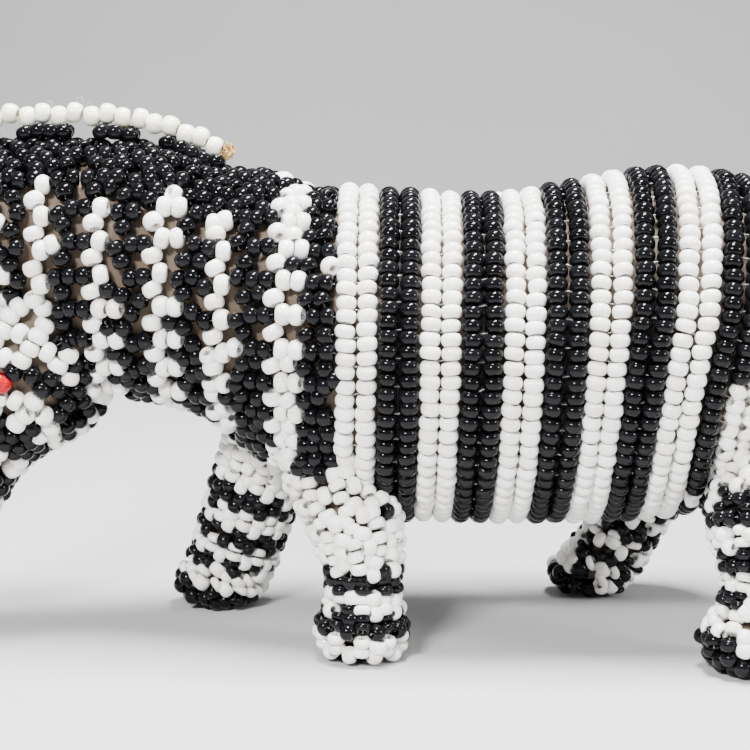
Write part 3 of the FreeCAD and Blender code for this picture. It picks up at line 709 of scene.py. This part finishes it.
# How far each column's rows sit above that level, in millimetres, from the shoulder to the forehead.
COLUMN_RISE = (0.0, 0.2, 0.2, -0.4, 0.35, 0.85, 0.05, 0.5, 0.3, -0.7, -0.3, 0.2, -0.2, 0.1, 0.3, 0.0, 0.2,
               0.1)
BEAD_SHARES = (0.27, 0.73, 1.02)  # of a cell: where the two beads of a pair and the connector stand
WHITE_ROWS = (9, 9, 9, 2, 2, 2, 2, 2, 2, 3, 3, 3)  # the last white row of each column; black above it
CREST_NET = 51.5 * MM  # the black beads above this height belong to the net under the mane


def neck_places():
    """Planes of the neck's net from the shoulder to the forehead: X and the middle height of each."""
    def middle_at(x):
        top = neck_tree.ray_cast(Vector((x, 0.2 * MM, 90 * MM)), -UP)[0]
        low = neck_tree.ray_cast(Vector((x, 0.2 * MM, 0)), UP)[0]
        return None if top is None or low is None else ((top.z + low.z) / 2, (top.z - low.z) / 2)

    step = 0.1 * MM
    x = SHOULDER_X
    front = low_high("forehead_net")[0][0] + 0.6 * BEAD
    travelled = 0.0
    found = []
    shares = [column + share for column in range(len(COLUMN_RISE)) for share in BEAD_SHARES]
    middle, half = middle_at(x - 0.05 * MM)
    while len(found) < len(shares):
        if travelled >= shares[len(found)] * CELL:
            found.append((x, middle))
            continue
        x -= step
        now = middle_at(x)
        if now is None or x < front:
            break
        travelled += math.hypot(step, half - now[1])
        middle, half = now
    return found


def neck_rows(ring, offset, level):
    """Row numbers and distances round a ring, counted up from a level on both sides."""
    found = crossings(ring, level)
    top = ring.marks[int(np.argmax(ring.points[:, 2]))]
    if found is None:
        count = max(3, round(ring.length / ROW))
        return [(0, ring.length * (n + offset) / count) for n in range(count)]
    rows = []
    for sign, start, low, high in ((1, found[0], 0.0, top), (-1, found[1], top, ring.length)):
        for number in range(-16, 17):
            distance = start + sign * (number + offset) * ROW
            if low < distance < high:
                rows.append((number + offset, distance))
    return rows


def neck_net():
    """Stripes one cell wide from the shoulder to the forehead, black first."""
    rings = []
    for x, z in neck_places():
        over = shoulders if x > SHOULDER_X - 15 * MM else ()
        rings.append(outline(neck_tree, Vector((x, 0, z)), Vector((-1, 0, 0)), -UP, LIFT, over=over))

    def keep_out(place):
        return place.x > SHOULDER_X - 0.2 * MM or buried(place, head_tree, *leg_trees.values())

    for column in range(len(rings) // 3):
        colour = "white" if column % 2 else "black"
        last_white = WHITE_ROWS[min(column, len(WHITE_ROWS) - 1)]

        def piece_of(place, row):
            if colour == "white" and row > last_white:
                return "crest_net_black"
            if colour == "black" and place.z > CREST_NET and last_white < 9:
                return "crest_net_black"
            if column >= NECK_STRIPES:
                return f"forehead_net_{colour}"
            return f"neck_stripe_{column + 1:02d}_{colour}"

        first, second, edge = rings[3 * column:3 * column + 3]
        level = ROW_LEVEL + COLUMN_RISE[column] * MM
        for row, distance in neck_rows(first, 0.0, level):
            place, _, normal = first.at(distance)
            # the other bead of the pair lies at the same height on the next ring
            twins = [second.at(other) for other in crossings(second, place.z) or ()]
            twin = min(twins, key=lambda found: (found[0] - place).length, default=None)
            if twin is None or (twin[0] - place).length > 1.5 * CELL:
                continue
            centre = (twin[0] + place) / 2
            pieces = [piece_of(place, row)] * 2
            half = (twin[0] - place).normalized() * bead_size(pieces[0])[1] * 0.51
            pair(centre - half, centre + half, normal, twin[2], pieces, keep_out)
        for row, distance in neck_rows(edge, -0.5, level):
            connector(edge, distance, lambda place: piece_of(place, row), keep_out, lean=0.35)


neck_net()

# ---- head

HEAD_CELL = 3.1 * MM
HEAD_FIRST = -6.4 * MM  # where the net starts and ends, along the head from the poll
HEAD_LAST = 31.0 * MM
HEAD_ROW = 3.6  # net cell round the head, in millimetres
# The dark patch runs from the eye to a turn on the cheek and an end: along the head and across it.
PATCH_TURN = (7.1 * MM, 6.3 * MM)
PATCH_END = (13.5 * MM, 9.5 * MM)
SNOUT_START = 15.3 * MM


def head_frame(place):
    """Distance from the poll along the head, and towards the jaw."""
    offset = place - POLL
    return offset.dot(HEAD_AXIS), offset.dot(HEAD_ACROSS)


def near_line(point, start, end):
    """Distance from a flat point to a line between two others."""
    point, start, end = (np.array(p) for p in (point, start, end))
    share = np.clip(np.dot(point - start, end - start) / np.dot(end - start, end - start), 0, 1)
    return float(np.linalg.norm(point - start - share * (end - start)))


def head_piece(place):
    """Which piece a bead of the head belongs to, by the stripes of the face."""
    spot = head_frame(place)
    along = spot[0]
    if along < SNOUT_START:
        dark = near_line(spot, (EYE_ALONG, EYE_OFFSET), PATCH_TURN) < 1.7 * MM
        dark = dark or near_line(spot, PATCH_TURN, PATCH_END) < 1.9 * MM
        return "cheek_patch_black" if dark else "cheek_net"
    band = int((along - SNOUT_START) / HEAD_CELL)
    if band > 3:
        return "muzzle_net_black"
    return "snout_stripe_white" if band % 2 else "snout_stripe_black"


def head_net():
    """Net of the head, from inside the neck to the muzzle, and rings that close the muzzle."""
    def keep_out(place):
        return buried(place, neck_tree, *leg_trees.values())

    def ring_at(along):
        return outline(head_tree, POLL + HEAD_AXIS * along, HEAD_AXIS, LEFT, LIFT, reach=20 * MM)

    cells = int((HEAD_LAST - HEAD_FIRST) / HEAD_CELL)
    for cell in range(cells):
        start = HEAD_FIRST + cell * HEAD_CELL
        edge, first, second = (ring_at(start + HEAD_CELL * share) for share in (0.0, 0.26, 0.74))
        rows = max(5, round(first.length / HEAD_ROW / MM))
        for number in range(rows):
            a = first.at(first.length * number / rows)
            b = second.at(second.length * number / rows)
            pair(a[0], b[0], a[2], b[2], [head_piece(a[0]), head_piece(b[0])], keep_out)
            connector(edge, edge.length * (number + 0.5) / rows, head_piece, keep_out)
    ring = ring_at(HEAD_FIRST + cells * HEAD_CELL - 2 * MM)
    for row, offset, along in closing_rows(ring, (0.78, 0.42, 0.08)):
        centre = POLL + HEAD_AXIS * (30.7 + 0.35 * row) * MM
        beads.put("muzzle_net_black", centre + offset, along, HEAD_AXIS)


head_net()

# ---- legs

# Middle line of each leg above the sole, in millimetres from the shoulder's plane, the middle plane and the
# ground.
LEG_LINES = {
    "front_left": ((2.85, -11.3, 6), (2.85, -10.8, 10), (1.75, -9.6, 15), (-0.05, -7.4, 20),
                   (-0.75, -6.8, 25)),
    "front_right": ((-13.65, 11.0, 5), (-12.15, 10.8, 9), (-10.05, 9.8, 15), (-8.05, 8.3, 20),
                    (-5.95, 6.8, 25)),
    "rear_left": ((45.75, -16.4, 6), (46.45, -15.9, 10.5), (46.85, -14.3, 16), (48.75, -11.8, 22),
                  (49.75, -9.0, 29)),
    "rear_right": ((33.75, 16.4, 6), (36.75, 15.9, 10.5), (39.55, 14.3, 16), (42.15, 12.0, 22),
                   (44.55, 9.3, 29)),
}
# First colour above the sole, and the heights in millimetres at which the colour changes. White above.
LEG_BANDS = {
    "front_left": ("white", (0.9, 3.3, 5.3, 7.3, 9.7)),
    "front_right": ("black", (0.9, 2.8, 4.9, 6.9, 8.9, 11.1, 13.6, 16.5)),
    "rear_left": ("black", (0.9, 3.9, 6.6, 8.9, 11.0, 13.4, 15.6, 17.8)),
    "rear_right": ("black", (0.9, 2.5, 4.4, 6.4, 8.4, 10.4, 12.4, 14.6)),
}
UPPER_CELL = 2.6 * MM
HOOF_FLAT = 3.1 * MM  # the lowest height at which the padding is cut to find a ring


# Where the middle of each sole rests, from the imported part's own mounts.
MOUNTS = {mount["name"]: Vector(mount["pos_m"]) for mount in frame["record"]["mounts"]}
SOLES = {leg: MOUNTS[f"{leg}_sole"] for leg in LEGS}


def leg_points(leg, step):
    """Middle line of a leg as evenly spaced points."""
    line = np.array([np.array(SOLES[leg])] + [np.array(p) * MM + (SHOULDER_X, 0, 0) for p in LEG_LINES[leg]])
    return smooth_line(line, np.arange(0, distances_along(line)[-1], step), 12)


def leg_piece(leg, usual, place):
    """The piece a bead of a leg's net belongs to: two black stripes reach down onto the left foreleg."""
    if leg != "front_left" or place.y > -8 * MM:
        return usual
    behind = (place.x - SHOULDER_X) / MM
    level = place.z / MM
    if level > 13 and behind > 3.7 + (19.2 - level) * 0.62:
        return "barrel_stripe_02_black"
    if level > 20.3 and -8.7 < behind < -1.0:
        return "neck_stripe_01_black"
    return usual


def leg_net(leg):
    """Net of a leg from the sole up, and rings of beads that close the sole."""
    points = leg_points(leg, 0.2 * MM)
    tree = leg_trees[leg]
    colour, heights = LEG_BANDS[leg]
    outward = LEFT if leg.endswith("left") else -LEFT
    heights = [h * MM for h in heights]
    while heights[-1] < points[-1][2] - UPPER_CELL:
        heights.append(heights[-1] + UPPER_CELL)

    def ring_at(height, lift):
        if height < HOOF_FLAT:
            # below the padding, the beads hang straight down and turn in a little
            ring = ring_at(HOOF_FLAT, lift)
            fall = HOOF_FLAT - height
            middle = ring.points[:-1].mean(axis=0)
            ring.points[:, :2] += (middle[:2] - ring.points[:, :2]) * 0.07 * fall / MM
            ring.points[:, 2] -= fall
            return ring
        index = min(max(int(np.searchsorted(points[:, 2], height)), 3), len(points) - 4)
        axis = Vector(points[index + 3] - points[index - 3]).normalized()
        lean = min(max((height - 1.5 * MM) / (4 * MM), 0.0), 1.0)
        axis = (UP * (1 - lean) + axis * lean).normalized()
        centre = Vector((*points[index][:2], height))
        return outline(tree, centre, axis, outward, lift, reach=11 * MM, count=96)

    def keep_out(place):
        return place.z < LOWEST or buried(place, body_tree, neck_tree)

    rows = max(7, round(ring_at(4 * MM, LIFT).length / LEG_ROW))
    for band, (low, high) in enumerate(zip(heights, heights[1:])):
        banded = band < len(LEG_BANDS[leg][1]) - 1
        other = "black" if colour == "white" else "white"
        piece = f"{leg}_net_{(colour, other)[band % 2] if banded else 'white'}"
        tall = high - low
        length = min(tall / 2 * 0.96, BEAD_LENGTH)
        edge = ring_at(low + 0.05 * tall, LIFT + 0.15 * MM)
        first = ring_at(low + 0.27 * tall, LIFT + 0.12 * MM)
        second = ring_at(low + 0.76 * tall, LIFT - 0.08 * MM)
        if first.length / rows > 1.16 * LEG_ROW:
            rows += 1
        for number in range(rows):
            a = first.at(first.length * number / rows)
            b = second.at(second.length * number / rows)
            pieces = [leg_piece(leg, piece, a[0])] * 2
            pair(a[0], b[0], a[2], b[2], pieces, keep_out, sizes=(LEG_BEAD, length))
            connector(edge, edge.length * (number + 0.5) / rows, lambda place: leg_piece(leg, piece, place),
                      keep_out, sizes=(min(LEG_BEAD, tall), 1.5 * MM))
    centre = SOLES[leg] + UP * 1.2 * MM
    for _, offset, along in closing_rows(ring_at(2.5 * MM, LIFT), (0.78, 0.40, 0.02)):
        offset.z = 0
        beads.put(f"{leg}_net_black", centre + offset, along, -UP, wobble=0.03, shake=0.01 * MM)


for leg in LEGS:
    leg_net(leg)

# ---- single beads where the nets leave gaps


def loose_points(name, spacing):
    """Points spread at random over a CAD surface, and their normals."""
    mesh = frame["nodes"][name].data
    mesh.calc_loop_triangles()
    corners = np.array([[mesh.vertices[i].co for i in t.vertices] for t in mesh.loop_triangles])
    cross = np.cross(corners[:, 1] - corners[:, 0], corners[:, 2] - corners[:, 0])
    areas = np.linalg.norm(cross, axis=1)
    count = int(areas.sum() / 2 / spacing ** 2)
    picks = rng.choice(len(areas), count, p=areas / areas.sum())
    shares = rng.random((count, 2))
    shares = np.where(shares.sum(axis=1, keepdims=True) > 1, 1 - shares, shares)
    chosen = corners[picks]
    points = chosen[:, 0]
    for k in (0, 1):
        points = points + shares[:, k:k + 1] * (chosen[:, k + 1] - chosen[:, 0])
    return points, cross[picks] / areas[picks][:, None]


def fill_gaps():
    """Beads of the nearest colour where two nets meet and leave room, and a close pile under the mane."""
    forms = {"body_core": body_tree, "neck_core": neck_tree, "head_core": head_tree}
    forms.update({f"{leg}_leg_core": leg_trees[leg] for leg in LEGS})
    for name, own in forms.items():
        others = [tree for other, tree in forms.items() if other != name]
        points, normals = loose_points(name, 0.55 * MM)
        for point, normal in zip(points, normals):
            normal = Vector(normal)
            place = Vector(point) + normal * LIFT
            pile = name == "neck_core" and place.z > CREST_NET + 1.5 * MM and place.x < SHOULDER_X - 10 * MM
            near = beads.nearest(place)
            if place.z < LOWEST or near is None or near[0] < (0.95 if "leg" in name else 1.1) * MM:
                continue
            hole = (near[1] - normal * near[1].dot(normal)).normalized()
            close = normal.z > 0.55 or (near[2].endswith("black")
                                        and (name != "neck_core" or place.z < 35 * MM))
            slack = 0.64 if pile else 0.55 if "leg" in name else CLOSE if close else NET
            if beads.crowded(place, hole, BEAD, BEAD_LENGTH, slack):
                continue
            if depth_inside(own, place) > -0.8 * LIFT or buried(place, *others):
                continue
            beads.put("crest_net_black" if pile else near[2], place, hole, normal, slack=0.5, wobble=0.25)


fill_gaps()

# ---- mane

# Line of the mane's crest from the withers to the forehead: millimetres in front of the shoulder, height.
CREST_LINE = ((-13.95, 56.6), (-17.35, 58.0), (-21.05, 59.3), (-25.05, 60.0), (-31.45, 60.1), (-37.95, 60.0),
              (-43.05, 58.6), (-46.45, 55.8))
# From the shoulder: where daylight shows between the crest and the net, and where the lines that carry the
# crest come together in the net.
CREST_WINDOWS = (-21.4, -28.9, -37.4)
CREST_VEES = (-16.5, -25.1, -33.1, -41.5)
UPRIGHT_BEAD = 2.1 * MM
WINDOW = 1.7 * MM


def crest_curve():
    """Smooth line of the crest row, from the withers to the forehead, as even points."""
    line = np.array(CREST_LINE) * MM
    flat = smooth_line(line, np.linspace(0, distances_along(line)[-1], 400), 300)
    return np.stack([flat[:, 0] + SHOULDER_X, np.zeros(len(flat)), flat[:, 1]], axis=1)


CREST = crest_curve()


def mane():
    """The crest row, and the black beads that carry it, with daylight between some of them."""
    marks = distances_along(CREST)
    pitch = CREST_LENGTH * 1.01
    for number in range(int(marks[-1] / pitch) + 1):
        distance = number * pitch
        place, ahead, behind = (Vector([np.interp(distance + d, marks, column) for column in CREST.T])
                                for d in (0, 0.5 * MM, -0.5 * MM))
        swing = 1 if number % 2 else -1
        along = ((ahead - behind).normalized() + UP * 0.14 * swing).normalized()
        place.z += 0.16 * MM * swing
        beads.put("mane_crest_beads", place, along, LEFT, diameter=CREST_BEAD, length=CREST_LENGTH, slack=0.6)

    # the uprights stand between the windows, and lean together at their feet
    windows = [SHOULDER_X + x * MM for x in CREST_WINDOWS]
    edges = [CREST[0][0] + 0.4 * MM] + windows + [CREST[-1][0] + 2.5 * MM]
    beside = (WINDOW + UPRIGHT_BEAD) / 2
    for index, (rear, front) in enumerate(zip(edges, edges[1:])):
        start = rear - (0 if index == 0 else beside)
        end = front + (0 if index == len(edges) - 2 else beside)
        count = max(2, round((start - end) / (1.7 * MM)) + 1)
        for number in range(count):
            x = start + (end - start) * number / (count - 1)
            height = float(np.interp(-x, -CREST[:, 0], CREST[:, 2]))
            vee = min(CREST_VEES, key=lambda v: abs(SHOULDER_X + v * MM - x))
            lean = min(max((SHOULDER_X + vee * MM - x) / (4 * MM), -0.5), 0.5)
            for y in (-1.0, 1.0):
                spot = Vector((x + lean * 0.5 * MM, y * MM, height - CREST_BEAD / 2 - 0.66 * MM))
                beads.put("mane_upright_beads", spot, Vector((-lean, -0.15 * y, 1)).normalized(), LEFT,
                          diameter=UPRIGHT_BEAD, length=1.55 * MM, slack=0.55)


mane()

# ---- ears and tail


def ears():
    """Each ear: a rim of black beads round a core of white ones, on the front of a cupped leaf."""
    half_width = 1.72
    half_height = 3.05
    lean = math.radians(24)
    for side, node in ((-1, "left_ear"), (1, "right_ear")):
        tree = tree_of(node)
        low, high = low_high(node)
        middle = Vector((low + high) / 2)
        tall = Vector((0, math.sin(lean) * side, math.cos(lean)))
        wide = Vector((0, math.cos(lean) * side, -math.sin(lean)))

        def spot(across, up):
            place = middle + wide * across + tall * up
            hit = tree.ray_cast(place - BACK * (20 * MM), BACK)[0]
            return None if hit is None else Vector((hit.x + 1.12 * MM, place.y, place.z))

        count = 10
        for number in range(count):
            angle = 2 * math.pi * number / count
            here = spot(half_width * MM * math.cos(angle), half_height * MM * math.sin(angle))
            along = -wide * half_width * math.sin(angle) + tall * half_height * math.cos(angle)
            if here is not None:
                beads.put(node, here, along.normalized(), -BACK, length=1.45 * MM, slack=0.7)
        for up in (-1.0, 0.55):
            here = spot(0, up * MM)
            if here is not None:
                beads.put(f"{node}_white", here, tall, -BACK, diameter=1.6 * MM, slack=0.4)


def tail():
    """The dock's bead, the strand's beads in black and white pairs, and a tassel of short strings."""
    high = low_high("tail_dock")[1]
    swing = next(joint for joint in frame["record"]["behaviour"]["joints"] if joint["name"] == "tail_swing")
    pivot = Vector(swing["pos_m"])
    still = {"slack": 0.2, "wobble": 0, "shake": 0}
    dock = Vector((high[0] - 0.95 * MM, 0, pivot.z))
    beads.put("tail_dock", dock, BACK, UP, diameter=3.4 * MM, length=1.9 * MM, **still)
    beads.put("tail_strand", pivot, -LEFT, UP, diameter=3.0 * MM, length=2.0 * MM, **still)
    bottom = low_high("tail_strand")[0][2]
    level = pivot.z - 2.3 * MM
    number = 0
    while level > bottom:
        piece = "tail_strand" if number // 2 % 2 else "tail_strand_white"
        beads.put(piece, Vector((pivot.x, 0, level)), UP, LEFT, slack=0.5, wobble=0.03)
        level -= 1.52 * MM
        number += 1
    floor = low_high("tail_tassel")[0][2]
    strings = 5
    for string in range(strings):
        angle = 2 * math.pi * string / strings
        outward = Vector((math.cos(angle), math.sin(angle), 0))
        for step in range(5):
            share = (step + 0.5) / 5
            out = (0.75 + 0.65 * share) * MM
            level = bottom * (1 - share) + floor * share
            place = Vector((pivot.x + out * math.cos(angle), out * math.sin(angle), level))
            hole = Vector((0.1 * math.cos(angle), 0.1 * math.sin(angle), -1)).normalized()
            beads.put("tail_tassel", place, hole, outward, diameter=1.9 * MM, slack=0.3)


ears()
tail()

# ======== pieces from the beads

# The CAD node that a piece stands for, where it has another name.
REPLACED = {"red_eye_beads": "eye_beads", "forehead_net_black": "forehead_net",
            "forehead_net_white": "forehead_net"}
for leg in LEGS:
    REPLACED[f"{leg}_net_black"] = f"{leg}_shin_and_hoof_net"
    REPLACED[f"{leg}_net_white"] = f"{leg}_upper_leg_net"
BLACK_PIECES = ("mane_upright_beads", "nostril_beads", "left_ear", "right_ear", "tail_dock", "tail_strand",
                "tail_tassel")


def material_of(piece):
    """The glass that a piece is made of, by its name."""
    if piece == "red_eye_beads":
        return RED, "red_glass_beads"
    if piece == "mane_crest_beads":
        return CREAM, "white_glass_beads"
    if piece.endswith("black") or piece in BLACK_PIECES:
        return BLACK, "black_glass_beads"
    return WHITE, "white_glass_beads"


def build_pieces():
    """One mesh for each run of beads, riding on the figure and standing for its CAD shell."""
    for piece, placed in beads.pieces.items():
        material, slot = material_of(piece)
        points, faces, tones = bead_arrays(placed)
        made = mesh_object(f"beads_{piece}", points, faces, material, tones)
        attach(made, "tail_strand" if piece.startswith(("tail_strand", "tail_tassel")) else "figure")
        node = REPLACED.get(piece, piece)
        if node in frame["nodes"]:
            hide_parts(node)


build_pieces()

# ======== line, knot


def rods(runs, radius, sides=6):
    """Points and faces of straight round rods between pairs of points."""
    starts = np.array([a for a, _ in runs])
    ends = np.array([b for _, b in runs])
    along = ends - starts
    along /= np.linalg.norm(along, axis=1)[:, None]
    helper = np.where(np.abs(along[:, 2:]) < 0.8, (0.0, 0.0, 1.0), (1.0, 0.0, 0.0))
    across = np.cross(along, helper)
    across /= np.linalg.norm(across, axis=1)[:, None]
    up = np.cross(along, across)
    angles = np.arange(sides) * 2 * math.pi / sides
    rim = across[:, None] * np.cos(angles)[:, None] + up[:, None] * np.sin(angles)[:, None]
    points = np.concatenate([starts[:, None, :] + rim * radius, ends[:, None, :] + rim * radius], axis=1)
    quad = np.array([(k, (k + 1) % sides, sides + (k + 1) % sides, sides + k) for k in range(sides)])
    faces = (quad[None, :, :] + (np.arange(len(runs)) * 2 * sides)[:, None, None]).reshape(-1, 4)
    return points.reshape(-1, 3), faces


def curl(foot, heading, height, width):
    """A small loop of line that stands up from the beads."""
    points = []
    for step in range(13):
        angle = math.pi * (1.25 * step / 12 - 0.125)
        points.append(foot - heading * math.cos(angle) * width / 2 + UP * math.sin(angle) * height)
    return list(zip(points, points[1:]))


def build_line():
    """Line through the beads of the nets and between the trunk's rings, and a few stray curls on the mane."""
    runs = list(stitches)
    for piece, placed in beads.pieces.items():
        if piece.startswith(("barrel", "rump", "tail")):
            continue
        for place, hole, outward, girth, reach in placed:
            end = hole * (reach / 2 + 0.08 * MM)
            runs.append((place - end, place + end))
    for share, height, width in ((0.46, 0.95, 0.9), (0.43, 0.35, 0.5), (0.56, 0.4, 0.6)):
        foot = Vector(CREST[int(share * len(CREST))]) + UP * (CREST_BEAD / 2 - 0.1 * MM)
        runs.extend(curl(foot, Vector((1, 0.3, 0)).normalized(), height * MM, width * MM))
    made = mesh_object("nylon_line", *rods(runs, THREAD / 2), NYLON)
    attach(made, "figure")


def build_knot():
    """Crumpled knot of line and glue behind the last bead of the crest."""
    back = Vector(CREST[0] - CREST[6]).normalized()
    centre = Vector(CREST[0]) + back * (CREST_LENGTH / 2 + 0.75 * MM)
    ball = bmesh.new()
    bmesh.ops.create_icosphere(ball, subdivisions=5, radius=1)
    for vertex in ball.verts:
        spot = vertex.co
        rough = fractal.noise(spot * 2.1) * 0.35 + abs(fractal.noise(spot * 5.5)) * 0.45
        vertex.co = centre + Vector((spot.x * 0.8, spot.y * 0.8, spot.z)) * (0.8 + rough) * 0.95 * MM
    mesh = bpy.data.meshes.new("glued_knot")
    ball.to_mesh(mesh)
    ball.free()
    mesh.materials.append(GLUE)
    made = in_scene("glued_knot", mesh)
    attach(made, "figure")
    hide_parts("mane_end_knot")


build_line()
build_knot()

# ======== cores, wires, the rest

for name, thing in frame["nodes"].items():
    for ending, material in (("_core", TAPE), ("_wire", WIRE), ("tail_link", NYLON)):
        if name.endswith(ending):
            thing.data.materials.clear()
            thing.data.materials.append(material)

# ======== floor, light, camera

# Each lamp: its name, its place, its two widths and its power.
LAMPS = (("top_light", (0.03, -0.02, 0.40), (0.20, 0.07), 9.5),
         ("front_light", (-0.16, -0.36, 0.30), (0.12, 0.05), 4.6),
         ("side_light", (0.40, -0.20, 0.20), (0.08, 0.10), 1.5))
LIT_POINT = Vector((0, 0, 0.03))


def aimed(name, data, place, direction):
    """A lamp or camera in the scene, looking in a direction."""
    made = in_scene(name, data)
    made.location = place
    made.rotation_mode = "QUATERNION"
    made.rotation_quaternion = direction.to_track_quat("-Z", "Y")
    return made


def studio():
    """A pale sweep, a broad light above, a softer one in front, a small one by the tail, and pale air."""
    depth = 0.62
    rise = 0.9
    width = 1.6
    bend = 0.25
    profile = [(-0.9, 0.0), (depth - bend, 0.0)]
    for step in range(1, 13):
        angle = math.pi / 2 * step / 12
        profile.append((depth - bend + bend * math.sin(angle), bend - bend * math.cos(angle)))
    profile.append((depth, rise))
    points = [(x, y, z) for y, z in profile for x in (-width, width)]
    faces = np.array([(2 * i, 2 * i + 1, 2 * i + 3, 2 * i + 2) for i in range(len(profile) - 1)])
    sweep = mesh_object("studio_floor", np.array(points), faces, FLOOR)

    for name, place, size, power in LAMPS:
        data = bpy.data.lights.new(name, "AREA")
        data.shape = "RECTANGLE"
        data.size, data.size_y = size
        data.energy = power
        aimed(name, data, place, LIT_POINT - Vector(place))

    world = bpy.data.worlds.new("studio_air")
    world.use_nodes = True
    air = world.node_tree.nodes["Background"].inputs
    air["Color"].default_value = (0.82, 0.84, 0.88, 1)
    air["Strength"].default_value = 0.30
    bpy.context.scene.world = world


CAMERA_DISTANCE = 232 * MM
CAMERA_PITCH = math.radians(9)
CAMERA_ALONG = 4.21 * MM  # the point that the camera looks at: behind the shoulder, and its height
CAMERA_HEIGHT = 30.2 * MM
FRAME_WIDTH = 86.7 * MM  # what the frame takes in at that point


def camera():
    """The camera, on the animal's left side and a little above."""
    data = bpy.data.cameras.new("camera")
    data.sensor_width = 36
    data.lens = data.sensor_width * CAMERA_DISTANCE / FRAME_WIDTH
    data.clip_start = 0.01
    data.clip_end = 10
    target = Vector((SHOULDER_X + CAMERA_ALONG, 0, CAMERA_HEIGHT))
    back = Vector((0, -math.cos(CAMERA_PITCH), math.sin(CAMERA_PITCH)))
    bpy.context.scene.camera = aimed("camera", data, target + back * CAMERA_DISTANCE, -back)


studio()
camera()
bpy.context.view_layer.update()
